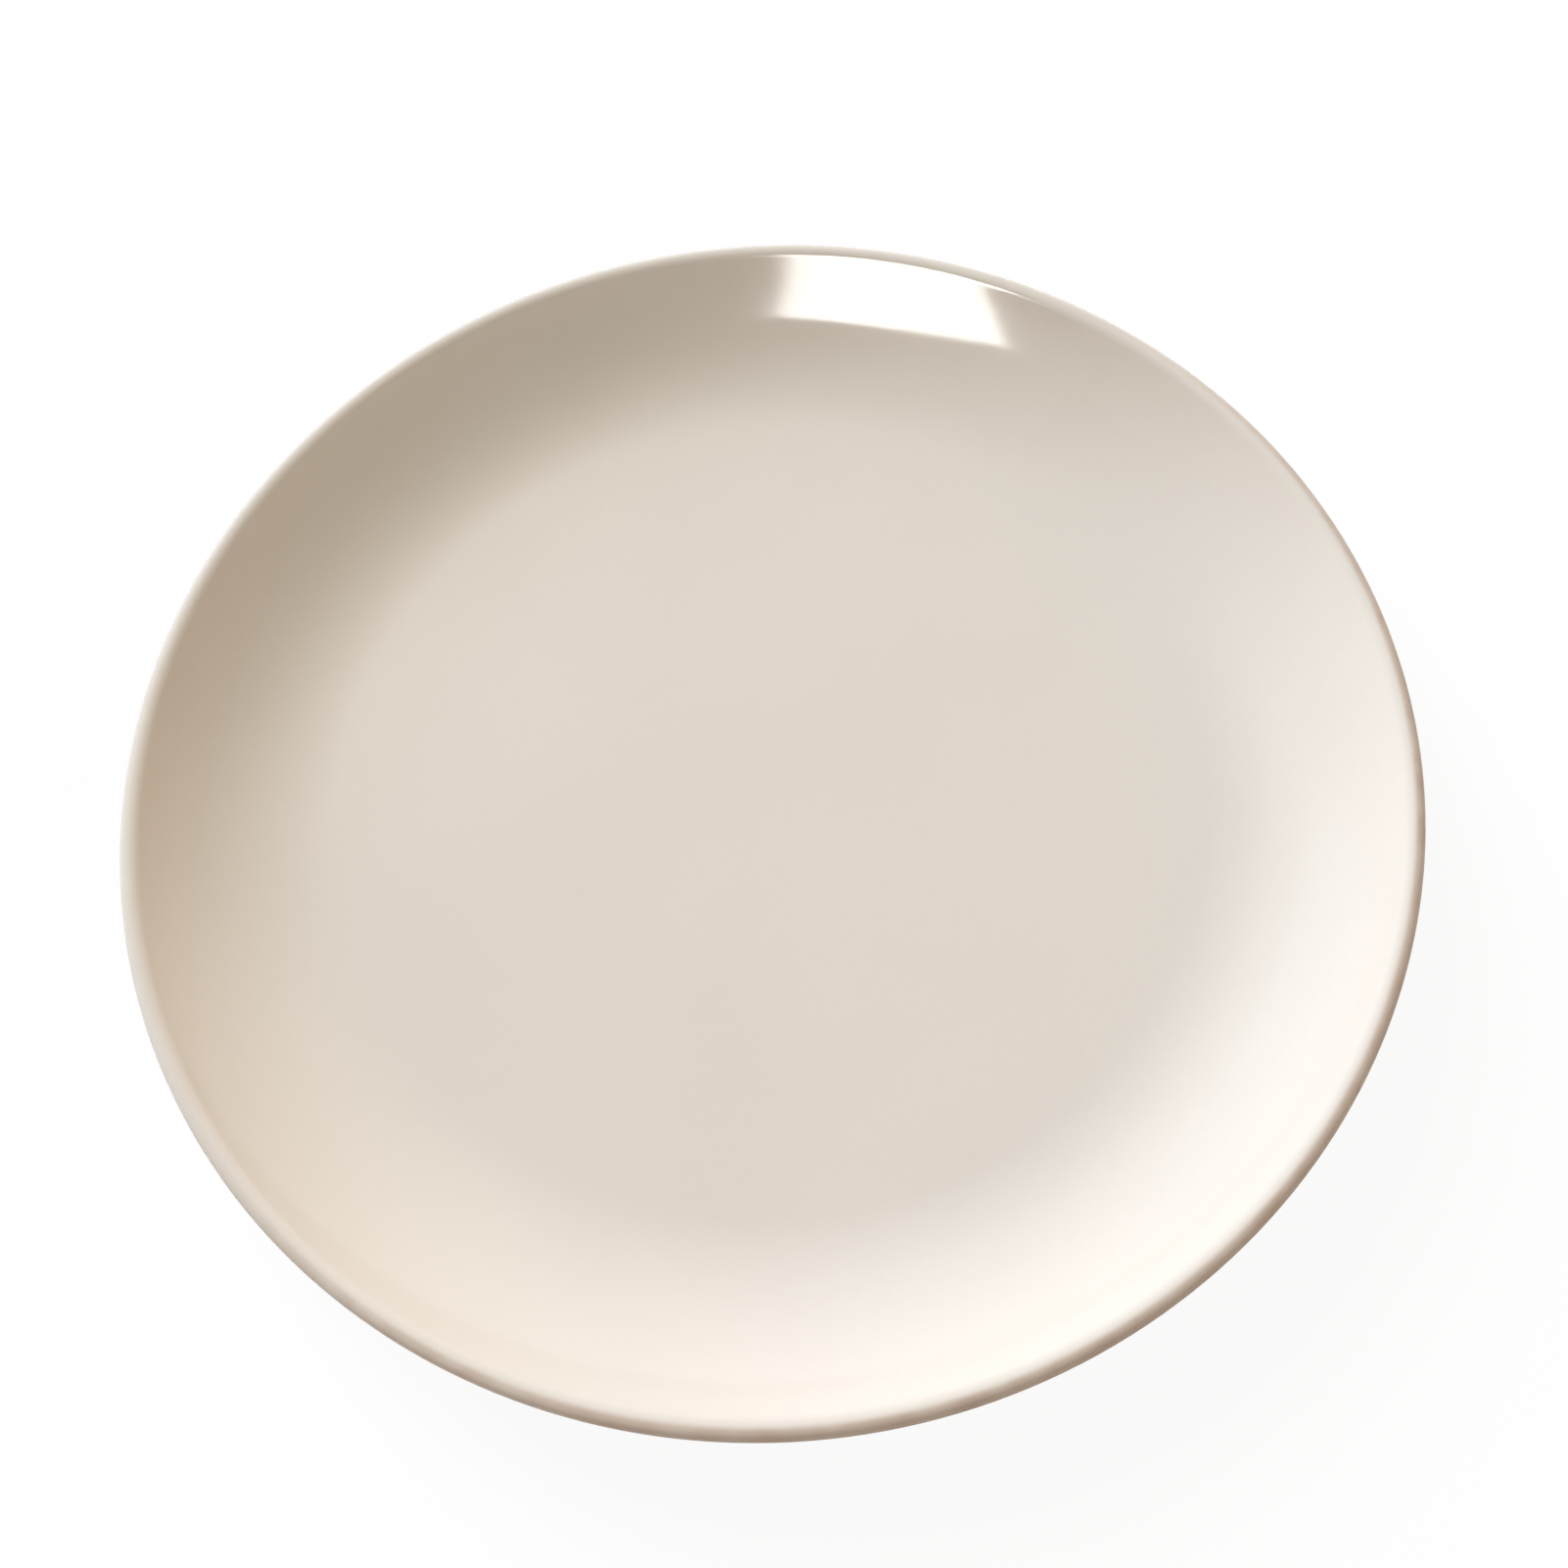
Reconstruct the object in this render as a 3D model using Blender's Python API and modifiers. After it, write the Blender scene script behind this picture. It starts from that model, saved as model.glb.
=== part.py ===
"""Round coupe fruit plate of glazed ceramic.

A turned ceramic body stands on a foot ring. The dish glaze runs from the middle of the well, over the
lip and down the outside of the foot. The base glaze lines the recess inside the foot. The tread of the
foot is wiped bare between the two, so that the plate can be fired standing.

One section describes the finished surface. The body lies below it by the depth of the coat.
"""

import math

import bpy

# Sizes of the finished plate, in metres and degrees
PLATE_DIAMETER = 0.205
WELL_DIAMETER = 0.144
WELL_DEPTH = 0.0145
FLOOR_CROWN = 0.0004
FLOOR_THICKNESS = 0.0042
LIP_OUTER_RADIUS = 0.0015
LIP_INNER_RADIUS = 0.0022
HEEL_WIDTH = 0.0075
FOOT_HEIGHT = 0.0030
FOOT_WIDTH = 0.0048
FOOT_DRAFT = 10.0
FOOT_ROOT_RADIUS = 0.0010
TREAD_RADIUS = 0.0006
BASE_RECESS = 0.0026

# Glaze: its thickness, the clearance under it, and the height of foot that is wiped bare
GLAZE_THICKNESS = 0.00035
GLAZE_CLEARANCE = 0.00005
BARE_HEIGHT = 0.0009

# Facets round the plate, and along each run of the section
TURN_STEPS = 60
FLOOR_STEPS = 4
WALL_STEPS = 8
LIP_STEPS = 3
ROOT_STEPS = 3
EDGE_STEPS = 2
AXIS_MERGE = 0.00001

# Finishes: colour, then roughness
GLAZE_COLOUR = (0.73, 0.66, 0.59)
GLAZE_ROUGHNESS = 0.08
CLAY_COLOUR = (0.66, 0.58, 0.48)
CLAY_ROUGHNESS = 0.85

UP = math.pi / 2
OUT = 0.0
DOWN = -math.pi / 2
IN = -math.pi

# Levels above the tread, and the coat that the body lies under
HEEL_LEVEL = FOOT_HEIGHT
WELL_LEVEL = HEEL_LEVEL + FLOOR_THICKNESS
LIP_LEVEL = WELL_LEVEL + WELL_DEPTH
COAT = GLAZE_THICKNESS + GLAZE_CLEARANCE

# The lip has two centres, one below the other under its crest
CREST_RADIUS = PLATE_DIAMETER / 2 - LIP_OUTER_RADIUS
LIP_OUTER_CENTRE = (CREST_RADIUS, LIP_LEVEL - LIP_OUTER_RADIUS)
LIP_INNER_CENTRE = (CREST_RADIUS, LIP_LEVEL - LIP_INNER_RADIUS)

# The wall is one arc, level where it leaves the floor and tangent to the inner round of the lip
WELL_RADIUS = WELL_DIAMETER / 2
WALL_RUN = CREST_RADIUS - WELL_RADIUS
WALL_SLOPE = 2 * math.atan(WELL_DEPTH / WALL_RUN)
WALL_RADIUS = WALL_RUN / math.sin(WALL_SLOPE) - LIP_INNER_RADIUS

# The outside leaves the lip at the same slope and levels out at the heel
OUTSIDE_RISE = LIP_OUTER_CENTRE[1] - LIP_OUTER_RADIUS * math.cos(WALL_SLOPE) - HEEL_LEVEL
OUTSIDE_RADIUS = OUTSIDE_RISE / (1 - math.cos(WALL_SLOPE))
HEEL_RADIUS = CREST_RADIUS + (LIP_OUTER_RADIUS - OUTSIDE_RADIUS) * math.sin(WALL_SLOPE)

# The foot is set in from the heel, and both of its sides lean by the draft
DRAFT = math.radians(FOOT_DRAFT)
ROOT_LEVEL = HEEL_LEVEL - FOOT_ROOT_RADIUS
ROOT_CENTRE = (HEEL_RADIUS - HEEL_WIDTH, ROOT_LEVEL)
FOOT_OUTER = ROOT_CENTRE[0] - FOOT_ROOT_RADIUS / math.cos(DRAFT) - ROOT_LEVEL * math.tan(DRAFT)
FOOT_INNER = FOOT_OUTER - FOOT_WIDTH


def outer_side(height, depth=0.0):
    """Radius of the foot's outer side at a height, at a depth below the glazed surface."""
    return FOOT_OUTER + height * math.tan(DRAFT) - depth / math.cos(DRAFT)


def inner_side(height, depth=0.0):
    """Radius of the foot's inner side at a height, at a depth below the glazed surface."""
    return FOOT_INNER - height * math.tan(DRAFT) + depth / math.cos(DRAFT)


def arc(centre, radius, first, last, steps):
    """Stations (radius, height, normal angle) round an arc. A negative radius makes it hollow."""
    stations = []
    for step in range(steps + 1):
        angle = first + (last - first) * step / steps
        out = centre[0] + radius * math.cos(angle)
        height = centre[1] + radius * math.sin(angle)
        stations.append((out, height, angle))
    return stations


def crowned_floor():
    """Stations across the floor, which falls as half a cosine wave from its centre to its edge."""
    stations = []
    for step in range(FLOOR_STEPS + 1):
        turn = math.pi * step / FLOOR_STEPS
        height = WELL_LEVEL + FLOOR_CROWN * (1 + math.cos(turn)) / 2
        slope = -FLOOR_CROWN * math.pi / WELL_DIAMETER * math.sin(turn)
        stations.append((WELL_RADIUS * step / FLOOR_STEPS, height, UP + math.atan(slope)))
    return stations


def dish_section():
    """Finished surface from the centre of the well, over the lip, to the glaze line outside the foot."""
    wall_centre = (WELL_RADIUS, WELL_LEVEL + WALL_RADIUS)
    outside_centre = (HEEL_RADIUS, HEEL_LEVEL + OUTSIDE_RADIUS)
    section = crowned_floor()
    section += arc(wall_centre, -WALL_RADIUS, UP, UP + WALL_SLOPE, WALL_STEPS)[1:]
    section += arc(LIP_INNER_CENTRE, LIP_INNER_RADIUS, UP + WALL_SLOPE, UP, LIP_STEPS)[1:]
    section += arc(LIP_OUTER_CENTRE, LIP_OUTER_RADIUS, UP, OUT, LIP_STEPS)[1:]
    section += arc(LIP_OUTER_CENTRE, LIP_OUTER_RADIUS, OUT, DOWN + WALL_SLOPE, EDGE_STEPS)[1:]
    section += arc(outside_centre, OUTSIDE_RADIUS, DOWN + WALL_SLOPE, DOWN, WALL_STEPS)[1:]
    section += arc(ROOT_CENTRE, -FOOT_ROOT_RADIUS, DOWN, OUT - DRAFT, ROOT_STEPS)
    section.append((outer_side(BARE_HEIGHT), BARE_HEIGHT, OUT - DRAFT))
    return section


def base_section():
    """Finished surface from the glaze line inside the foot to the centre of the recessed base."""
    root_level = BASE_RECESS - FOOT_ROOT_RADIUS
    root_centre = (inner_side(root_level) - FOOT_ROOT_RADIUS / math.cos(DRAFT), root_level)
    section = [(inner_side(BARE_HEIGHT), BARE_HEIGHT, IN + DRAFT)]
    section += arc(root_centre, -FOOT_ROOT_RADIUS, IN + DRAFT, DOWN, ROOT_STEPS)
    section.append((0.0, BASE_RECESS, DOWN))
    return section


def below(section, depth):
    """Points (radius, height) of a section, at an even depth below its surface."""
    points = []
    for out, height, angle in section:
        points.append((out - depth * math.cos(angle), height - depth * math.sin(angle)))
    return points


def tread_points():
    """Points round the bare tread of the body, from its outer edge to its inner edge."""
    reach = TREAD_RADIUS / math.cos(DRAFT)
    outer_centre = (outer_side(TREAD_RADIUS, COAT) - reach, TREAD_RADIUS)
    inner_centre = (inner_side(TREAD_RADIUS, COAT) + reach, TREAD_RADIUS)
    edges = arc(outer_centre, TREAD_RADIUS, OUT - DRAFT, DOWN, EDGE_STEPS)
    edges += arc(inner_centre, TREAD_RADIUS, DOWN, IN + DRAFT, EDGE_STEPS)
    return below(edges, 0.0)


def body_outline():
    """The body: the dish and the base at the depth of the coat, with the bare tread between them."""
    return below(dish_section(), COAT) + tread_points() + below(base_section(), COAT)


def glaze_edge(line, first):
    """Points round the rolled edge of a coat at its glaze line, from one face of the coat to the other."""
    radius = GLAZE_THICKNESS / 2
    centre = below([line], radius)[0]
    return below(arc(centre, radius, first, first - math.pi, EDGE_STEPS)[1:-1], 0.0)


def dish_glaze_outline():
    """The dish glaze: its glossy face outwards, the rolled edge, and its underside back to the axis."""
    section = dish_section()
    edge = glaze_edge(section[-1], OUT - DRAFT)
    return below(section, 0.0) + edge + below(section, GLAZE_THICKNESS)[::-1]


def base_glaze_outline():
    """The base glaze: its upper side out from the axis, the rolled edge, and its glossy face back."""
    section = base_section()
    edge = glaze_edge(section[0], OUT + DRAFT)
    return below(section, GLAZE_THICKNESS)[::-1] + edge + below(section, 0.0)


def finish(name, colour, roughness):
    """A plain non-metallic material."""
    material = bpy.data.materials.new(name)
    material.use_nodes = True
    shader = material.node_tree.nodes["Principled BSDF"]
    shader.inputs["Base Color"].default_value = (*colour, 1.0)
    shader.inputs["Roughness"].default_value = roughness
    shader.inputs["Metallic"].default_value = 0.0
    return material


def turned(name, outline, material, collection):
    """A solid turned about the plate's axis from an outline that runs down from the axis and back to it."""
    points = [(out, 0.0, height) for out, height in outline]
    edges = [(first, first + 1) for first in range(len(points) - 1)]
    mesh = bpy.data.meshes.new(name)
    mesh.from_pydata(points, edges, [])
    mesh.materials.append(material)
    piece = bpy.data.objects.new(name, mesh)
    collection.objects.link(piece)
    turning = piece.modifiers.new("Turning", "SCREW")
    turning.axis = "Z"
    turning.steps = TURN_STEPS
    turning.render_steps = TURN_STEPS
    turning.use_merge_vertices = True
    turning.merge_threshold = AXIS_MERGE
    turning.use_smooth_shade = True
    return piece


def main():
    for old in list(bpy.data.objects):
        bpy.data.objects.remove(old)
    plate = bpy.data.collections.new("Fruit plate")
    bpy.context.scene.collection.children.link(plate)
    glaze = finish("Cream glaze", GLAZE_COLOUR, GLAZE_ROUGHNESS)
    recess_glaze = finish("Cream glaze of the base", GLAZE_COLOUR, GLAZE_ROUGHNESS)
    clay = finish("Bare fired clay", CLAY_COLOUR, CLAY_ROUGHNESS)
    turned("ceramic_body", body_outline(), clay, plate)
    turned("dish_glaze", dish_glaze_outline(), glaze, plate)
    turned("base_glaze", base_glaze_outline(), recess_glaze, plate)


main()
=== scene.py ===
"""Round coupe fruit plate of glazed ceramic: its finished surfaces, its materials and its stage.

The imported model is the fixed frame. Each of its solids is replaced by a finer turned surface of the same
section. Lengths are in metres, +Z is up, and the tread of the foot stands at height zero.
"""

import math

import bpy
import numpy as np
from bpy.props import FloatProperty, FloatVectorProperty, PointerProperty
from mathutils import Matrix, Vector


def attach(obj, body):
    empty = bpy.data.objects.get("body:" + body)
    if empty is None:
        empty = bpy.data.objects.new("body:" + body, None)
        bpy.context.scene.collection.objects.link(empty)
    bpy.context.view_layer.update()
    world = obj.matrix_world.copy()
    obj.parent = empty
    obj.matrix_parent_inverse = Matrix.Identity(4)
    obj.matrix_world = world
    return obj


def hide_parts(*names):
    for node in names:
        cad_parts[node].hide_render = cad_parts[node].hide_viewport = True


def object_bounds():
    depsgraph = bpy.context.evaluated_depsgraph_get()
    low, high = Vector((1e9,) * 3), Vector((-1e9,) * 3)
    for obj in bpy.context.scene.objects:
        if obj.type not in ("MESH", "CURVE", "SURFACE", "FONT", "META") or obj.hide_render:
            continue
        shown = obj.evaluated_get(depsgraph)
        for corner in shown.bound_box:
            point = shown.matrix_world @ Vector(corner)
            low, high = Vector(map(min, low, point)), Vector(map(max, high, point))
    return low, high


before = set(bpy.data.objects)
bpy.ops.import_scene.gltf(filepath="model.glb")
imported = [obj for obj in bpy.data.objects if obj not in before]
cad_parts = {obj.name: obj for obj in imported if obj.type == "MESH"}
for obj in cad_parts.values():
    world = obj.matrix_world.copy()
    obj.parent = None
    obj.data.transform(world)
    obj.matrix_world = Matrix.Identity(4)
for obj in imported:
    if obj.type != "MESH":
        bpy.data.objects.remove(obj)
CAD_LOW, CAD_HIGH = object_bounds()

bl_info = {
    "name": "Fruit plate",
    "version": (1, 0, 0),
    "blender": (4, 5, 0),
    "location": "3D View > Sidebar > Fruit plate",
    "description": "Turned surfaces, glaze, bare clay and stage of a coupe fruit plate",
    "category": "Object",
}

# Directions of a surface's normal in the section, as angles from the outward direction
UP = math.pi / 2
OUT = 0.0
DOWN = -math.pi / 2
IN = -math.pi

# Facets round the plate and along each run of the section, and stride between the stations of hidden runs
TURN_STEPS = 256
FLOOR_STEPS = 24
WALL_STEPS = 40
LIP_STEPS = 12
ROOT_STEPS = 8
SIDE_STEPS = 4
EDGE_STEPS = 8
BASE_STEPS = 120
HIDDEN_STRIDE = 4

# Waver of a glaze line round the foot: waves in a turn, share of the waver, and phase
LINE_WAVES = ((3, 0.50, 0.4), (7, 0.30, 1.9), (13, 0.20, 4.1))

# Turning rings under the base: distance from the foot and run over which they grow, in root radii
RING_MARGIN = 4
RING_FADE = 8

# Darker coat on the lip, painted shade over a thin glaze: the lip's side facing away from the key lamps is
# darkened.
# Bearing from +X towards +Y of that shaded side, cosines of the turn from there between which the painted
# shade grows, distances out from the crest where it starts and is full, and depths below the crest between
# which it dies away again
LIP_SHADE_BEARING = math.radians(305.0)
LIP_SHADE_COSINES = (-0.3, 0.6)
LIP_THIN_AND_SHADE_BAND = (-0.0006, 0.0003)
LIP_THIN_AND_SHADE_DEPTHS = (0.0012, 0.0052)

# Noises of the glaze: features to the metre, and octaves of detail
DRIFT_NOISE = (24.0, 2.0)
MOTTLE_NOISE = (850.0, 3.0)
BREAK_UP_NOISE = (180.0, 3.0)
GLOSS_NOISE = (60.0, 3.0)
SWELL_NOISE = (130.0, 1.0)

# Their strength: levels of the cream, share of the mottle, least thinning, spread of roughness and
# height of the swell
DRIFT_LEVELS = (0.985, 1.012)
MOTTLE_LEVEL = 0.98
MOTTLE_SHARE = 0.35
BREAK_UP_LEAST = 0.60
GLOSS_SPREAD = 0.015
SWELL_HEIGHT = 0.000012

# Noises of the clay: features to the metre, and octaves of detail
CLOUD_NOISE = (90.0, 4.0)
GRAIN_NOISE = (2600.0, 2.0)
WORN_NOISE = (140.0, 3.0)
GRIT_NOISE = (3200.0, 3.0)

# Their strength: levels of the clay, shares of grains and wear, height of the wear in tread radii, spread of
# roughness, then the pitch and share of the tool's rings, and the height of the whole relief
CLOUD_LEVELS = (0.92, 1.06)
GRAIN_SHARE = 0.6
WORN_SHARE = 0.22
WORN_HEIGHT = 0.4
CLAY_SPREAD = 0.06
TOOL_PITCH = 0.00045
TOOL_SHARE = 0.25
CLAY_RELIEF = 0.00004

# Parts of a noise's range that are carried on
NOISE_MIDDLE = (0.30, 0.70)
NOISE_WIDE = (0.25, 0.75)
GRAIN_RANGE = (0.60, 0.72)
WORN_RANGE = (0.42, 0.62)

# Sockets of a Mix node for colours: its two colours and its result
MIX_COLOURS = (6, 7)
MIX_RESULT = 2

# Stage colours, and the radii between which the floor fades to plain white
WHITE = (1.0, 1.0, 1.0, 1.0)
NEAR_WHITE = (0.95, 0.95, 0.95, 1.0)
BLACK = (0.0, 0.0, 0.0, 1.0)
FLOOR_FADE = (0.13, 0.30)

# Lamps: name, bearing from +X towards +Y and elevation in degrees, then irradiance of each colour over pi
LAMPS = (
    ("High key light", 120.0, 45.0, (0.812, 0.800, 0.750)),
    ("Low key light", 120.0, 25.0, (0.500, 0.605, 0.750)),
    ("Right fill", 330.0, 25.0, (0.260, 0.236, 0.194)),
    ("Warm side light", 30.0, 10.0, (0.226, 0.148, 0.073)),
    ("Left fill", 240.0, 10.0, (0.309, 0.287, 0.256)),
)

# Angle across each lamp, in degrees
LAMP_SPREAD = 35.0

# Bright card that the far wall mirrors: centre, sideways and upward axes, corners of its foot and head along
# them, bow of its head, share of its width over which the glow grows, facets and strength
CARD_CENTRE = (-0.319, -0.395, 0.668)
CARD_SIDE = (0.803, -0.596, 0.0)
CARD_RISE = (0.446, 0.600, 0.665)
CARD_FOOT = ((0.348, -0.45), (-0.106, -0.45))
CARD_HEAD = ((0.152, 0.186), (-0.187, 0.056))
CARD_BOW = 0.066
CARD_FADE = 0.08
CARD_STEPS = 24
CARD_STRENGTH = 18.0

# White flag that hides the card from the near lip: centre, inner and outer radius, bearings in degrees
FLAG_CENTRE = (-0.021, -0.024, 0.073)
FLAG_RADII = (0.060, 0.260)
FLAG_BEARINGS = (170.0, 320.0)

# Photo frame: side of the picture, then the centre and half axes of the lip's ellipse in it, in pixels
PICTURE_SIDE = 1601
LIP_ELLIPSE_CENTRE = (789.2, 863.0)
LIP_ELLIPSE_AXES = (667.4, 609.05)

# Camera: sensor in millimetres, nearest distance seen, range of the elevation and halvings of it
SENSOR_WIDTH = 36.0
NEAREST_SEEN = 0.01
TILT_RANGE = (math.radians(10.0), math.radians(89.0))
TILT_HALVINGS = 60


def length(name, description, default):
    """A length in metres for the panel."""
    return FloatProperty(name=name, description=description, default=default, unit="LENGTH", precision=5)


def colour(name, description, default):
    """A linear colour for the panel."""
    return FloatVectorProperty(
        name=name, description=description, default=default, subtype="COLOR", size=3, min=0.0, max=1.0
    )


def share(name, description, default):
    """A number from zero to one for the panel."""
    return FloatProperty(
        name=name, description=description, default=default, subtype="FACTOR", min=0.0, max=1.0
    )


def angle(name, description, degrees):
    """An angle for the panel, from a default in degrees."""
    return FloatProperty(
        name=name, description=description, default=math.radians(degrees), subtype="ANGLE"
    )


class PlateSizes(bpy.types.PropertyGroup):
    """Sizes of the finished plate."""

    plate_diameter: length("Plate diameter", "Across the lip, outside", CAD_HIGH.x - CAD_LOW.x)
    well_diameter: length("Well diameter", "Across the flat floor", 0.144)
    well_depth: length("Well depth", "From the lip down to the floor's edge", 0.0145)
    floor_crown: length("Floor crown", "Rise of the floor at its centre", 0.0004)
    floor_thickness: length("Floor thickness", "From the heel up to the floor's edge", 0.0042)
    lip_outer_radius: length("Lip outer radius", "Round of the lip outside its crest", 0.0015)
    lip_inner_radius: length("Lip inner radius", "Gentler round of the lip inside its crest", 0.0022)
    heel_width: length("Heel width", "Flat between the outside wall and the foot", 0.0075)
    foot_height: length("Foot height", "From the tread up to the heel", 0.0030)
    foot_width: length("Foot width", "Across the foot ring at the tread", 0.0048)
    foot_draft: angle("Foot draft", "Lean of both sides of the foot", 10.0)
    foot_root_radius: length("Foot root radius", "Hollow between the foot and the plate", 0.0010)
    tread_radius: length("Tread radius", "Round of the tread's edges", 0.0006)
    base_recess: length("Base recess", "Height of the base inside the foot", 0.0026)
    glaze_thickness: length("Glaze thickness", "Thickness of both coats", 0.00035)
    glaze_clearance: length("Glaze clearance", "Gap between a coat and the body", 0.00005)
    bare_height: length("Bare height", "Height of foot that is wiped bare", 0.0009)
    line_waver: length("Line waver", "How far the wiped glaze line strays from level", 0.00025)
    ring_depth: length("Ring depth", "Depth of the turning rings under the base", 0.00003)
    ring_pitch: length("Ring pitch", "Distance between the turning rings under the base", 0.0042)


class PlateFinish(bpy.types.PropertyGroup):
    """Colours and gloss of the glaze and the bare clay."""

    glaze_colour: colour("Glaze", "Cream of the full coat", (0.73, 0.66, 0.59))
    # Darker tone of the thin coat at the foot's line, also used as painted shade on the lip's shaded side
    thin_glaze_and_shade_colour: colour("Thin glaze", "Thin coat over the lip and at its line", (0.54, 0.41, 0.33))
    glaze_roughness: share("Glaze roughness", "Roughness of the gloss", 0.10)
    clay_colour: colour("Clay", "Bare fired clay", (0.66, 0.58, 0.48))
    grog_colour: colour("Grog", "Darker grains in the clay", (0.50, 0.41, 0.31))
    worn_colour: colour("Worn clay", "Where the tread has rubbed", (0.47, 0.39, 0.31))
    clay_roughness: share("Clay roughness", "Roughness of the bare clay", 0.85)


class PlateStage(bpy.types.PropertyGroup):
    """Floor and camera."""

    floor_colour: colour("Floor", "Plain pale floor", (0.60, 0.52, 0.45))
    floor_white: share("Floor white", "Share of plain white in the floor as the camera sees it", 0.93)
    floor_size: length("Floor size", "Side of the floor", 6.0)
    camera_distance: length("Camera distance", "From the lip's centre to the camera", 0.25625)
    camera_roll: angle("Camera roll", "Turn of the picture", 8.985)


def arc(centre, radius, first, last, steps):
    """Stations round an arc: out = centre + radius cos angle, height = centre + radius sin angle.

    The rows are out, height and the angle of the normal. A negative radius makes the arc hollow.
    """
    normal = np.linspace(first, last, steps + 1)
    return np.stack([centre[0] + radius * np.cos(normal), centre[1] + radius * np.sin(normal), normal])


def line(first, last, normal, steps):
    """Stations along a straight run from one point (out, height) to another, with one normal angle."""
    along = np.linspace(0.0, 1.0, steps + 1)
    out = first[0] + (last[0] - first[0]) * along
    height = first[1] + (last[1] - first[1]) * along
    return np.stack([out, height, np.full_like(along, normal)])


def joined(*runs):
    """The runs one after another, each later one without its first station, which repeats the one before."""
    return np.concatenate([runs[0]] + [run[:, 1:] for run in runs[1:]], axis=1)


def below(section, depth):
    """Points (out, height) at an even depth below a section: each station moved back along its normal."""
    out, height, normal = section
    return np.stack([out - depth * np.cos(normal), height - depth * np.sin(normal)])


def thinned(points):
    """Every few points of a hidden outline, with both of its ends."""
    kept = np.unique(np.append(np.arange(0, points.shape[1], HIDDEN_STRIDE), points.shape[1] - 1))
    return points[:, kept]


class PlateSection:
    """Radii, levels and angles of the finished section, worked out from the plate's sizes."""

    def __init__(self, sizes):
        self.sizes = sizes
        self.coat = sizes.glaze_thickness + sizes.glaze_clearance
        self.well_level = sizes.foot_height + sizes.floor_thickness
        self.lip_level = self.well_level + sizes.well_depth

        # The lip has two centres, one below the other under its crest
        self.crest_radius = sizes.plate_diameter / 2 - sizes.lip_outer_radius
        self.lip_outer_centre = (self.crest_radius, self.lip_level - sizes.lip_outer_radius)
        self.lip_inner_centre = (self.crest_radius, self.lip_level - sizes.lip_inner_radius)

        # The wall is one arc, level where it leaves the floor and tangent to the inner round of the lip
        self.well_radius = sizes.well_diameter / 2
        run = self.crest_radius - self.well_radius
        self.slope = 2 * math.atan(sizes.well_depth / run)
        self.wall_radius = run / math.sin(self.slope) - sizes.lip_inner_radius

        # The outside leaves the lip at the same slope and levels out at the heel
        rise = self.lip_level - sizes.lip_outer_radius * (1 + math.cos(self.slope)) - sizes.foot_height
        self.outside_radius = rise / (1 - math.cos(self.slope))
        reach = sizes.lip_outer_radius - self.outside_radius
        self.heel_radius = self.crest_radius + reach * math.sin(self.slope)

        # The foot is set in from the heel, and both of its sides lean by the draft
        self.draft = sizes.foot_draft
        self.root_level = sizes.foot_height - sizes.foot_root_radius
        self.root_centre = (self.heel_radius - sizes.heel_width, self.root_level)
        inset = sizes.foot_root_radius / math.cos(self.draft)
        self.foot_outer = self.root_centre[0] - inset - self.root_level * math.tan(self.draft)
        self.foot_inner = self.foot_outer - sizes.foot_width
        self.base_root_level = sizes.base_recess - sizes.foot_root_radius

    def outer_side(self, height, depth=0.0):
        """Radius of the foot's outer side at a height, at a depth below the glazed surface."""
        return self.foot_outer + height * math.tan(self.draft) - depth / math.cos(self.draft)

    def inner_side(self, height, depth=0.0):
        """Radius of the foot's inner side at a height, at a depth below the glazed surface."""
        return self.foot_inner - height * math.tan(self.draft) + depth / math.cos(self.draft)

    def crowned_floor(self):
        """Stations across the floor, which falls as half a cosine wave from its centre to its edge."""
        crown = self.sizes.floor_crown
        turn = np.linspace(0.0, math.pi, FLOOR_STEPS + 1)
        height = self.well_level + crown * (1 + np.cos(turn)) / 2
        slope = -crown * math.pi / self.sizes.well_diameter * np.sin(turn)
        return np.stack([self.well_radius * turn / math.pi, height, UP + np.arctan(slope)])

    def dish(self):
        """Finished surface from the centre of the well, over the lip, to the glaze line outside the foot."""
        sizes = self.sizes
        wall_centre = (self.well_radius, self.well_level + self.wall_radius)
        outside_centre = (self.heel_radius, sizes.foot_height + self.outside_radius)
        over = joined(
            self.crowned_floor(),
            arc(wall_centre, -self.wall_radius, UP, UP + self.slope, WALL_STEPS),
            arc(self.lip_inner_centre, sizes.lip_inner_radius, UP + self.slope, UP, LIP_STEPS),
            arc(self.lip_outer_centre, sizes.lip_outer_radius, UP, OUT, LIP_STEPS),
            arc(self.lip_outer_centre, sizes.lip_outer_radius, OUT, DOWN + self.slope, LIP_STEPS),
            arc(outside_centre, self.outside_radius, DOWN + self.slope, DOWN, WALL_STEPS),
        )
        root = arc(self.root_centre, -sizes.foot_root_radius, DOWN, OUT - self.draft, ROOT_STEPS)
        glaze_line = (self.outer_side(sizes.bare_height), sizes.bare_height)
        side = line(root[:2, -1], glaze_line, OUT - self.draft, SIDE_STEPS)
        return np.concatenate([over, joined(root, side)], axis=1)

    def base(self):
        """Finished surface from the glaze line inside the foot to the centre of the recessed base."""
        sizes = self.sizes
        level = self.base_root_level
        root_centre = (self.inner_side(level) - sizes.foot_root_radius / math.cos(self.draft), level)
        root = arc(root_centre, -sizes.foot_root_radius, IN + self.draft, DOWN, ROOT_STEPS)
        glaze_line = (self.inner_side(sizes.bare_height), sizes.bare_height)
        side = line(glaze_line, root[:2, 0], IN + self.draft, SIDE_STEPS)
        across = line(root[:2, -1], (0.0, sizes.base_recess), DOWN, BASE_STEPS)
        return joined(side, root, across)

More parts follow.
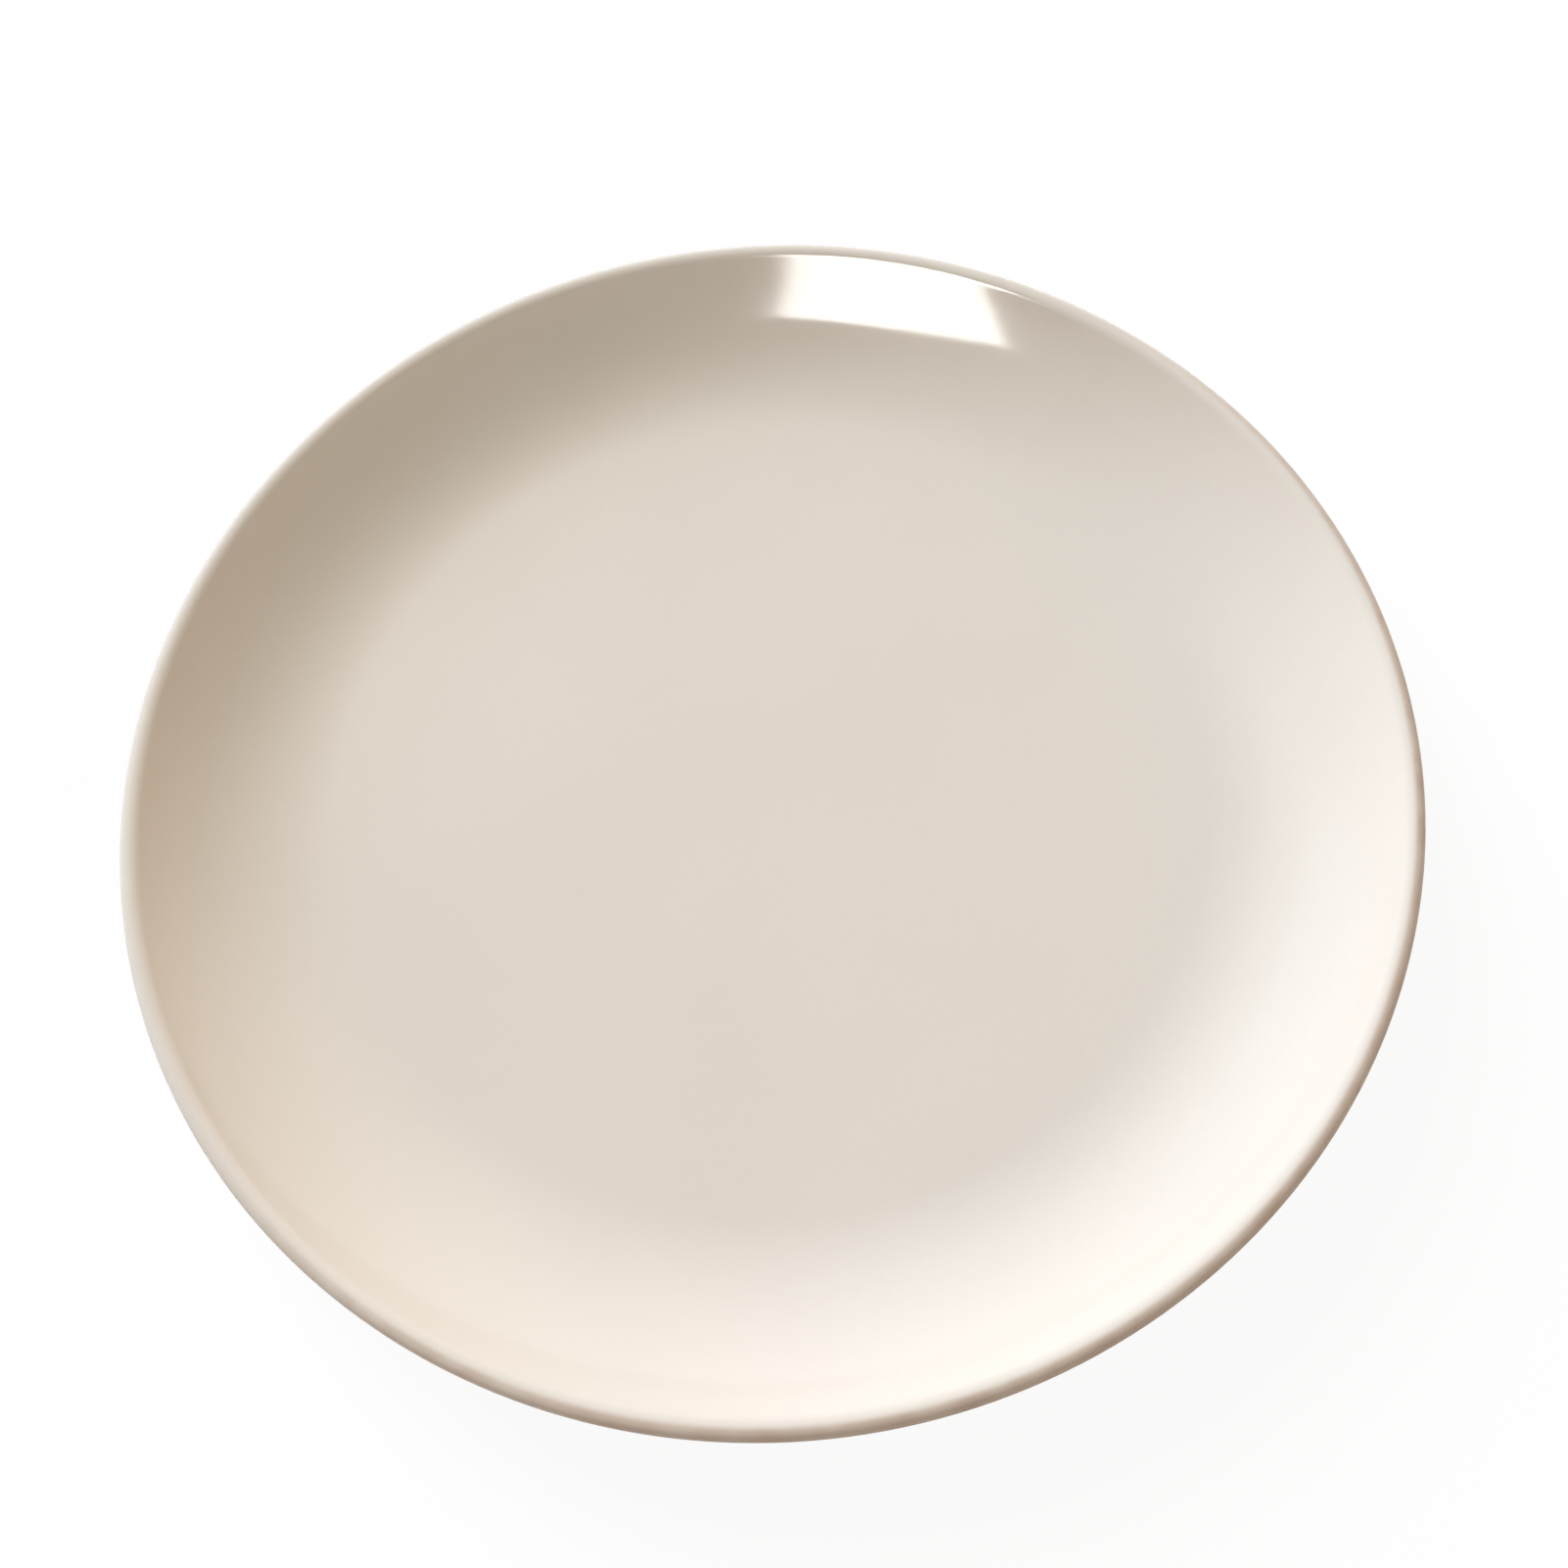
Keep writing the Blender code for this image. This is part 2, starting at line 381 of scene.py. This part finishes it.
    def tread(self):
        """Points round the bare tread of the body, from its outer edge to its inner edge."""
        radius = self.sizes.tread_radius
        reach = radius / math.cos(self.draft)
        outer_centre = (self.outer_side(radius, self.coat) - reach, radius)
        inner_centre = (self.inner_side(radius, self.coat) + reach, radius)
        outer = arc(outer_centre, radius, OUT - self.draft, DOWN, EDGE_STEPS)
        inner = arc(inner_centre, radius, DOWN, IN + self.draft, EDGE_STEPS)
        return np.concatenate([outer, inner], axis=1)[:2]

    def glaze_edge(self, station, first):
        """Points round the rolled edge of a coat: half a turn about the middle of the coat at its line."""
        radius = self.sizes.glaze_thickness / 2
        centre = below(station, radius)
        return arc(centre, radius, first, first - math.pi, EDGE_STEPS)[:2, 1:-1]


def turned_piece(name, out, height, material):
    """A closed surface turned about Z: x = out cos turn, y = out sin turn, z = height.

    The grids hold stations along the outline by turns round the plate. The outline starts on the axis, runs
    down the outer side and ends on the axis, and each of its ends is one point.
    """
    stations, turns = out.shape
    turn = np.linspace(0.0, 2 * math.pi, turns, endpoint=False)
    grid = np.stack([out * np.cos(turn), out * np.sin(turn), height], axis=-1)
    points = np.concatenate([grid[:1, 0], grid[1:-1].reshape(-1, 3), grid[-1:, 0]])
    here = np.arange(turns)
    onward = (here + 1) % turns
    ring = 1 + np.arange(stations - 2)[:, None] * turns
    quads = np.stack([ring[:-1] + here, ring[1:] + here, ring[1:] + onward, ring[:-1] + onward], axis=-1)
    start = np.stack([np.zeros_like(here), ring[0] + here, ring[0] + onward], axis=-1)
    end = np.stack([ring[-1] + here, np.full_like(here, len(points) - 1), ring[-1] + onward], axis=-1)
    faces = start.tolist() + quads.reshape(-1, 4).tolist() + end.tolist()
    return new_mesh(name, points, faces, material)


def new_mesh(name, points, faces, material):
    """A smooth mesh object at the origin."""
    mesh = bpy.data.meshes.new(name)
    mesh.from_pydata(points.tolist(), [], faces)
    mesh.polygons.foreach_set("use_smooth", np.ones(len(faces), dtype=bool))
    mesh.materials.append(material)
    mesh.update()
    if mesh.validate():
        raise RuntimeError(f"{name} has faces that don't hold together")
    piece = bpy.data.objects.new(name, mesh)
    bpy.context.scene.collection.objects.link(piece)
    return piece


def wavered(outline, top, sizes, lean):
    """Grids of an outline whose glaze line strays from level round the foot.

    A point moves up by the waver at its turn, a sum of sines, times its share of the way from the top of the
    foot's straight side down to the line, and sideways along the side's lean.
    """
    out, height = outline
    turn = np.linspace(0.0, 2 * math.pi, TURN_STEPS, endpoint=False)
    waver = sum(part * np.sin(waves * turn + phase) for waves, part, phase in LINE_WAVES) * sizes.line_waver
    low = np.clip((top - height) / (top - sizes.bare_height), 0.0, 1.0)
    rise = low[:, None] * waver[None, :]
    return out[:, None] + rise * lean, height[:, None] + rise


def dish_glaze_grids(section):
    """The dish glaze: its glossy face, the rolled edge, and its underside back to the axis."""
    sizes = section.sizes
    face = section.dish()
    edge = section.glaze_edge(face[:, -1], OUT - section.draft)
    under = thinned(below(face, sizes.glaze_thickness))[:, ::-1]
    outline = np.concatenate([face[:2], edge, under], axis=1)
    return wavered(outline, section.root_level, sizes, math.tan(section.draft))


def base_glaze_grids(section):
    """The base glaze: its upper side out from the axis, the rolled edge, and its glossy face back.

    The face carries faint turning rings: a cosine of the radius that dies away towards the foot's root.
    """
    sizes = section.sizes
    face = section.base()
    edge = section.glaze_edge(face[:, 0], OUT + section.draft)
    upper = thinned(below(face, sizes.glaze_thickness))[:, ::-1]
    out, height = face[:2]
    root = sizes.foot_root_radius
    grown = np.clip((section.foot_inner - root * RING_MARGIN - out) / (root * RING_FADE), 0.0, 1.0)
    rings = sizes.ring_depth * np.cos(2 * math.pi * out / sizes.ring_pitch) * grown
    outline = np.concatenate([upper, edge, np.stack([out, height + rings])], axis=1)
    return wavered(outline, section.base_root_level, sizes, -math.tan(section.draft))


def clay_body_grids(section):
    """The body: the dish and the base at the depth of the coat, with the bare tread between them."""
    dish = below(section.dish(), section.coat)
    base = below(section.base(), section.coat)
    foot = dish[:, -ROOT_STEPS - SIDE_STEPS - 1 :]
    hidden = thinned(dish[:, : -ROOT_STEPS - SIDE_STEPS - 1])
    side = base[:, : SIDE_STEPS + ROOT_STEPS + 1]
    across = thinned(base[:, SIDE_STEPS + ROOT_STEPS + 1 :])
    outline = np.concatenate([hidden, foot, section.tread(), side, across], axis=1)
    ones = np.ones((1, TURN_STEPS))
    return outline[0][:, None] * ones, outline[1][:, None] * ones


def add_node(tree, kind, inputs=None, **settings):
    """A shader node with its settings. An input, by name or number, is a value or a socket to link."""
    node = tree.nodes.new(kind)
    for name, value in settings.items():
        setattr(node, name, value)
    for name, value in (inputs or {}).items():
        if isinstance(value, bpy.types.NodeSocket):
            tree.links.new(value, node.inputs[name])
        else:
            node.inputs[name].default_value = value
    return node


def arithmetic(tree, operation, first, second):
    """The output of a Math node."""
    return add_node(tree, "ShaderNodeMath", {0: first, 1: second}, operation=operation).outputs[0]


def ramped(tree, value, low, high, to_low=0.0, to_high=1.0, smooth=True):
    """A value carried from one range to another, smoothly or in a straight line, and held at the ends."""
    kind = "SMOOTHSTEP" if smooth else "LINEAR"
    inputs = {"Value": value, "From Min": low, "From Max": high, "To Min": to_low, "To Max": to_high}
    return add_node(tree, "ShaderNodeMapRange", inputs, interpolation_type=kind).outputs["Result"]


def noise(tree, place, scale, detail):
    """The value of a noise with that many features to the metre and octaves of detail."""
    inputs = {"Vector": place, "Scale": scale, "Detail": detail}
    return add_node(tree, "ShaderNodeTexNoise", inputs).outputs["Fac"]


def mixed(tree, factor, first, second):
    """A colour between two colours."""
    inputs = {"Factor": factor, MIX_COLOURS[0]: first, MIX_COLOURS[1]: second}
    return add_node(tree, "ShaderNodeMix", inputs, data_type="RGBA").outputs[MIX_RESULT]


def shaded(paint, level):
    """A colour at a level of brightness, with alpha."""
    return (*[min(1.0, part * level) for part in paint], 1.0)


def empty_material(name):
    """A material with an output and no shader yet."""
    material = bpy.data.materials.new(name)
    material.use_nodes = True
    tree = material.node_tree
    tree.nodes.clear()
    return material, tree, add_node(tree, "ShaderNodeOutputMaterial")


def radius_and_height(tree):
    """Object coordinates, and from them the distance from the plate's axis and the height."""
    place = add_node(tree, "ShaderNodeTexCoord").outputs["Object"]
    flat = add_node(tree, "ShaderNodeVectorMath", {0: place, 1: (1.0, 1.0, 0.0)}, operation="MULTIPLY")
    out = add_node(tree, "ShaderNodeVectorMath", {0: flat.outputs[0]}, operation="LENGTH").outputs["Value"]
    height = add_node(tree, "ShaderNodeSeparateXYZ", {0: place}).outputs["Z"]
    return place, out, height


def finish_surface(tree, output, tone, roughness, relief, depth):
    """Ends a material: a gloss shader with its colour and roughness, and a relief of that depth as bump."""
    bump = add_node(tree, "ShaderNodeBump", {"Height": relief, "Strength": 1.0, "Distance": depth})
    inputs = {"Base Color": tone, "Roughness": roughness, "Normal": bump.outputs["Normal"]}
    shader = add_node(tree, "ShaderNodeBsdfPrincipled", inputs)
    tree.links.new(shader.outputs["BSDF"], output.inputs["Surface"])


def thin_and_shaded_lip(tree, section, place, out, height):
    """Share of the darker lip tone: painted shade, most on the lip's side facing away from the key lamps,
    over a thin glaze at the lip, and less below the crest.
    """
    crest = section.crest_radius
    start, full = LIP_THIN_AND_SHADE_BAND
    lip = ramped(tree, out, crest + start, crest + full)
    # Painted shade: the darker tone is kept to the lip's side facing away from the key lamps
    shade_side = (math.cos(LIP_SHADE_BEARING), math.sin(LIP_SHADE_BEARING), 0.0)
    towards = add_node(tree, "ShaderNodeVectorMath", {0: place, 1: shade_side}, operation="DOT_PRODUCT")
    cosine = arithmetic(tree, "DIVIDE", towards.outputs["Value"], out)
    lip = arithmetic(tree, "MULTIPLY", lip, ramped(tree, cosine, *LIP_SHADE_COSINES))
    shallow, deep = LIP_THIN_AND_SHADE_DEPTHS
    under_lip = ramped(tree, height, section.lip_level - deep, section.lip_level - shallow)
    return arithmetic(tree, "MULTIPLY", lip, under_lip)


def glaze_material(finish, section):
    """Cream gloss glaze: slow drift of tone, fine mottle, thinner and warmer at its line, and darker and
    warmer over the lip as painted shade on its shaded side over a thin lip glaze.
    """
    material, tree, output = empty_material("Cream glaze")
    place, out, height = radius_and_height(tree)

    # Tone: a slow drift over tens of millimetres, and a mottle of about a millimetre
    cream = finish.glaze_colour
    drift = ramped(tree, noise(tree, place, *DRIFT_NOISE), *NOISE_MIDDLE)
    mottle = ramped(tree, noise(tree, place, *MOTTLE_NOISE), *NOISE_MIDDLE)
    tone = mixed(tree, drift, shaded(cream, DRIFT_LEVELS[0]), shaded(cream, DRIFT_LEVELS[1]))
    mottle = arithmetic(tree, "MULTIPLY", mottle, MOTTLE_SHARE)
    tone = mixed(tree, mottle, tone, shaded(cream, MOTTLE_LEVEL))

    # Thin coat near the wiped line of the foot, and painted shade over the lip's thin coat on the side away
    # from the key lamps
    sizes = section.sizes
    lip = thin_and_shaded_lip(tree, section, place, out, height)
    line_top = sizes.bare_height + sizes.line_waver + sizes.glaze_thickness
    foot = ramped(tree, height, line_top, sizes.bare_height)
    break_up = ramped(tree, noise(tree, place, *BREAK_UP_NOISE), *NOISE_WIDE, BREAK_UP_LEAST, 1.0)
    thin_coat_and_shade = arithmetic(tree, "MULTIPLY", arithmetic(tree, "MAXIMUM", lip, foot), break_up)
    tone = mixed(tree, thin_coat_and_shade, tone, (*finish.thin_glaze_and_shade_colour, 1.0))

    # Gloss: a little uneven, with the soft swell of a melted surface
    gloss = noise(tree, place, *GLOSS_NOISE)
    gloss = ramped(tree, gloss, *NOISE_WIDE, -GLOSS_SPREAD, GLOSS_SPREAD, smooth=False)
    roughness = arithmetic(tree, "ADD", gloss, finish.glaze_roughness)
    swell = noise(tree, place, *SWELL_NOISE)
    finish_surface(tree, output, tone, roughness, swell, SWELL_HEIGHT)
    return material


def clay_material(finish, section):
    """Bare fired clay: pale and matt, with dark grains, rings of the turning tool and a darker worn tread."""
    material, tree, output = empty_material("Bare fired clay")
    place, out, height = radius_and_height(tree)

    # Tone: clouds, grains, and the worn tread
    clay = finish.clay_colour
    clouds = ramped(tree, noise(tree, place, *CLOUD_NOISE), *NOISE_MIDDLE)
    tone = mixed(tree, clouds, shaded(clay, CLOUD_LEVELS[0]), shaded(clay, CLOUD_LEVELS[1]))
    grains = ramped(tree, noise(tree, place, *GRAIN_NOISE), *GRAIN_RANGE)
    grains = arithmetic(tree, "MULTIPLY", grains, GRAIN_SHARE)
    tone = mixed(tree, grains, tone, (*finish.grog_colour, 1.0))
    worn = ramped(tree, height, section.sizes.tread_radius * WORN_HEIGHT, 0.0)
    patches = ramped(tree, noise(tree, place, *WORN_NOISE), *WORN_RANGE)
    worn = arithmetic(tree, "MULTIPLY", arithmetic(tree, "MULTIPLY", worn, patches), WORN_SHARE)
    tone = mixed(tree, worn, tone, (*finish.worn_colour, 1.0))

    # Relief: rings left by the turning tool, and the grit of the clay
    turns = arithmetic(tree, "MULTIPLY", out, 2 * math.pi / TOOL_PITCH)
    rings = arithmetic(tree, "SINE", turns, 0.0)
    grit = noise(tree, place, *GRIT_NOISE)
    relief = arithmetic(tree, "ADD", arithmetic(tree, "MULTIPLY", rings, TOOL_SHARE), grit)
    uneven = ramped(tree, grit, *NOISE_MIDDLE, -CLAY_SPREAD, CLAY_SPREAD, smooth=False)
    roughness = arithmetic(tree, "ADD", uneven, finish.clay_roughness)
    finish_surface(tree, output, tone, roughness, relief, CLAY_RELIEF)
    return material


def seen_directly(tree):
    """One for rays from the camera, for mirrored rays and for rays through glass, and zero for other rays."""
    path = add_node(tree, "ShaderNodeLightPath").outputs
    seen = arithmetic(tree, "MAXIMUM", path["Is Camera Ray"], path["Is Glossy Ray"])
    return arithmetic(tree, "MAXIMUM", seen, path["Is Transmission Ray"])


def blended(tree, factor, first, second):
    """A node that mixes the shaders of two nodes."""
    return add_node(tree, "ShaderNodeMixShader", {0: factor, 1: first.outputs[0], 2: second.outputs[0]})


def floor_material(look):
    """Plain pale floor. The camera sees it lifted to white, with the plate's soft shadow left on it."""
    material, tree, output = empty_material("Pale floor")
    _, out, _ = radius_and_height(tree)
    plain = add_node(tree, "ShaderNodeBsdfDiffuse", {"Color": (*look.floor_colour, 1.0)})
    pale = add_node(tree, "ShaderNodeBsdfDiffuse", {"Color": NEAR_WHITE})
    white = add_node(tree, "ShaderNodeEmission", {"Color": WHITE, "Strength": 1.0})
    to_camera = add_node(tree, "ShaderNodeLightPath").outputs["Is Camera Ray"]
    near_white = arithmetic(tree, "MULTIPLY", to_camera, look.floor_white)
    lifted = ramped(tree, out, *FLOOR_FADE, near_white, 1.0)
    shown = blended(tree, lifted, pale, white)
    both = blended(tree, seen_directly(tree), plain, shown)
    tree.links.new(both.outputs[0], output.inputs["Surface"])
    return material


def card_material(name, brightest):
    """A card that glows from the white of the studio up to its brightest, by its own glow attribute."""
    material, tree, output = empty_material(name)
    glow = add_node(tree, "ShaderNodeAttribute", attribute_name="glow").outputs["Fac"]
    strength = ramped(tree, glow, 0.0, 1.0, 1.0, brightest, smooth=False)
    light = add_node(tree, "ShaderNodeEmission", {"Color": WHITE, "Strength": strength})
    tree.links.new(light.outputs[0], output.inputs["Surface"])
    return material


def mirrored_card(name, points, glow, brightest):
    """A card from a grid of points and a grid of glow. It shows in the gloss alone."""
    card = new_mesh(name, points.reshape(-1, 3), flat_grid(points), card_material(name, brightest))
    values = card.data.attributes.new("glow", "FLOAT", "POINT")
    values.data.foreach_set("value", glow.ravel().astype(np.float32))
    card.visible_camera = False
    card.visible_diffuse = False
    card.visible_shadow = False
    return card


def eased(step):
    """Values from zero to one along a smooth step: three times the square less twice the cube."""
    step = np.clip(step, 0.0, 1.0)
    return step * step * (3 - 2 * step)


def flat_grid(points):
    """Quads between the rows and columns of a grid of points."""
    rows, columns = points.shape[:2]
    index = np.arange(rows * columns).reshape(rows, columns)
    corners = [index[:-1, :-1], index[:-1, 1:], index[1:, 1:], index[1:, :-1]]
    return np.stack(corners, axis=-1).reshape(-1, 4).tolist()


def bright_card():
    """The card: a straight blend from its foot to its head, with the head bowed by a parabola."""
    along = np.linspace(0.0, 1.0, CARD_STEPS + 1)
    across, rise = np.meshgrid(along, along)
    foot = np.array(CARD_FOOT)
    head = np.array(CARD_HEAD)
    low = foot[0] + (foot[1] - foot[0]) * across[..., None]
    high = head[0] + (head[1] - head[0]) * across[..., None]
    high[..., 1] += CARD_BOW * 4 * across * (1 - across)
    flat = low + (high - low) * rise[..., None]
    axes = np.array([CARD_SIDE, CARD_RISE])
    points = np.array(CARD_CENTRE) + flat @ axes
    return mirrored_card("bright_card", points, eased(across / CARD_FADE), CARD_STRENGTH)


def white_flag():
    """A level sector of a ring, as white as the studio: x = radius cos bearing, y = radius sin bearing."""
    turn = np.radians(np.linspace(*FLAG_BEARINGS, CARD_STEPS + 1))
    bearing, radius = np.meshgrid(turn, FLAG_RADII)
    flat = np.stack([radius * np.cos(bearing), radius * np.sin(bearing), np.zeros_like(radius)], axis=-1)
    return mirrored_card("white_flag", flat + np.array(FLAG_CENTRE), np.zeros_like(radius), 1.0)


def pale_floor(look):
    """A level square floor at the height of the tread."""
    side = np.array([-look.floor_size / 2, look.floor_size / 2])
    x, y = np.meshgrid(side, side)
    points = np.stack([x, y, np.zeros_like(x)], axis=-1)
    return new_mesh("floor", points.reshape(-1, 3), flat_grid(points), floor_material(look))


def studio_lamps():
    """Soft lamps round the plate. They light surfaces and aren't mirrored in the gloss."""
    for name, bearing, elevation, strength in LAMPS:
        turn = math.radians(bearing)
        tilt = math.radians(elevation)
        towards = Vector((math.cos(turn) * math.cos(tilt), math.sin(turn) * math.cos(tilt), math.sin(tilt)))
        lamp = bpy.data.lights.new(name, "SUN")
        lamp.angle = math.radians(LAMP_SPREAD)
        lamp.energy = math.pi * max(strength)
        lamp.color = [part / max(strength) for part in strength]
        holder = bpy.data.objects.new(name, lamp)
        holder.rotation_euler = towards.to_track_quat("Z", "Y").to_euler()
        holder.visible_glossy = False
        bpy.context.scene.collection.objects.link(holder)


def studio_world():
    """A world that the camera and the gloss see as plain white. It gives no other light."""
    world = bpy.data.worlds.new("Studio")
    world.use_nodes = True
    tree = world.node_tree
    tree.nodes.clear()
    dark = add_node(tree, "ShaderNodeBackground", {"Color": BLACK, "Strength": 1.0})
    white = add_node(tree, "ShaderNodeBackground", {"Color": WHITE, "Strength": 1.0})
    both = blended(tree, seen_directly(tree), dark, white)
    output = add_node(tree, "ShaderNodeOutputWorld")
    tree.links.new(both.outputs[0], output.inputs["Surface"])
    bpy.context.scene.world = world


def photo_camera(look, section):
    """The camera that shows the lip's circle as the ellipse of the photo.

    The elevation follows from the ellipse's flatness and the distance in lip radii, and is found by halving.
    The focal length follows from the long axis. The lip's centre lies behind the ellipse's centre, and the
    shift allows for that.
    """
    radius = section.sizes.plate_diameter / 2
    ratio = look.camera_distance / radius
    flatness = LIP_ELLIPSE_AXES[1] / LIP_ELLIPSE_AXES[0]
    low, high = TILT_RANGE
    for _ in range(TILT_HALVINGS):
        tilt = (low + high) / 2
        seen = math.sin(tilt) * ratio / math.sqrt(ratio**2 - math.cos(tilt) ** 2)
        if seen < flatness:
            low = tilt
        else:
            high = tilt
    reach = ratio**2 - math.cos(tilt) ** 2
    focal = LIP_ELLIPSE_AXES[0] * math.sqrt(reach)
    behind = focal * math.sin(tilt) * math.cos(tilt) / reach

    roll = look.camera_roll
    back = Vector((0.0, -math.cos(tilt), math.sin(tilt)))
    right = Vector((1.0, 0.0, 0.0))
    up = back.cross(right)
    across = right * math.cos(roll) - up * math.sin(roll)
    upward = right * math.sin(roll) + up * math.cos(roll)
    lens = bpy.data.cameras.new("Camera")
    lens.sensor_fit = "HORIZONTAL"
    lens.sensor_width = SENSOR_WIDTH
    lens.lens = SENSOR_WIDTH * focal / PICTURE_SIDE
    lens.shift_x = -(LIP_ELLIPSE_CENTRE[0] - behind * math.sin(roll)) / PICTURE_SIDE + 0.5
    lens.shift_y = (LIP_ELLIPSE_CENTRE[1] - behind * math.cos(roll)) / PICTURE_SIDE - 0.5
    lens.clip_start = NEAREST_SEEN
    camera = bpy.data.objects.new("Camera", lens)
    place = Matrix((across, upward, back)).transposed().to_4x4()
    place.translation = Vector((0.0, 0.0, section.lip_outer_centre[1])) + back * look.camera_distance
    camera.matrix_world = place
    bpy.context.scene.collection.objects.link(camera)
    bpy.context.scene.camera = camera


class FRUITPLATE_OT_dish_glaze(bpy.types.Operator):
    """Turns the glaze coat of the well, the lip, the outside and the outer side of the foot."""

    bl_idname = "fruit_plate.dish_glaze"
    bl_label = "Dish glaze"

    def execute(self, context):
        section = PlateSection(context.scene.plate_sizes)
        material = glaze_material(context.scene.plate_finish, section)
        piece = turned_piece("dish_glaze_coat", *dish_glaze_grids(section), material)
        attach(piece, "root")
        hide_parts("dish_glaze")
        return {"FINISHED"}


class FRUITPLATE_OT_base_glaze(bpy.types.Operator):
    """Turns the glaze coat of the recessed base and the inner side of the foot."""

    bl_idname = "fruit_plate.base_glaze"
    bl_label = "Base glaze"

    def execute(self, context):
        section = PlateSection(context.scene.plate_sizes)
        material = glaze_material(context.scene.plate_finish, section)
        piece = turned_piece("base_glaze_coat", *base_glaze_grids(section), material)
        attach(piece, "root")
        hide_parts("base_glaze")
        return {"FINISHED"}


class FRUITPLATE_OT_clay_body(bpy.types.Operator):
    """Turns the clay body, which shows only at the wiped tread of the foot."""

    bl_idname = "fruit_plate.clay_body"
    bl_label = "Clay body"

    def execute(self, context):
        section = PlateSection(context.scene.plate_sizes)
        material = clay_material(context.scene.plate_finish, section)
        piece = turned_piece("clay_body", *clay_body_grids(section), material)
        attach(piece, "root")
        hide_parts("ceramic_body")
        return {"FINISHED"}


class FRUITPLATE_OT_stage(bpy.types.Operator):
    """Sets the floor, the cards, the soft light and the camera."""

    bl_idname = "fruit_plate.stage"
    bl_label = "Stage"

    def execute(self, context):
        look = context.scene.plate_stage
        section = PlateSection(context.scene.plate_sizes)
        pale_floor(look)
        bright_card()
        white_flag()
        studio_lamps()
        studio_world()
        photo_camera(look, section)
        context.scene.view_settings.view_transform = "Standard"
        return {"FINISHED"}


class FRUITPLATE_PT_panel(bpy.types.Panel):
    """Lists the plate's sizes, colours and steps."""

    bl_idname = "FRUITPLATE_PT_panel"
    bl_label = "Fruit plate"
    bl_space_type = "VIEW_3D"
    bl_region_type = "UI"
    bl_category = "Fruit plate"

    def draw(self, context):
        layout = self.layout
        for group in (context.scene.plate_sizes, context.scene.plate_finish, context.scene.plate_stage):
            box = layout.box()
            for name in group.__annotations__:
                box.prop(group, name)
        for operator in OPERATORS:
            layout.operator(operator.bl_idname)


GROUPS = {"plate_sizes": PlateSizes, "plate_finish": PlateFinish, "plate_stage": PlateStage}
OPERATORS = (
    FRUITPLATE_OT_dish_glaze,
    FRUITPLATE_OT_base_glaze,
    FRUITPLATE_OT_clay_body,
    FRUITPLATE_OT_stage,
)


def register():
    """Registers the groups of properties, the operators and the panel."""
    for name, group in GROUPS.items():
        bpy.utils.register_class(group)
        setattr(bpy.types.Scene, name, PointerProperty(type=group))
    for operator in OPERATORS:
        bpy.utils.register_class(operator)
    bpy.utils.register_class(FRUITPLATE_PT_panel)


def unregister():
    """Takes back what register did, in the opposite order."""
    bpy.utils.unregister_class(FRUITPLATE_PT_panel)
    for operator in reversed(OPERATORS):
        bpy.utils.unregister_class(operator)
    for name, group in reversed(GROUPS.items()):
        delattr(bpy.types.Scene, name)
        bpy.utils.unregister_class(group)


def main():
    register()
    bpy.ops.fruit_plate.dish_glaze()
    bpy.ops.fruit_plate.base_glaze()
    bpy.ops.fruit_plate.clay_body()
    bpy.ops.fruit_plate.stage()


if __name__ == "__main__":
    main()
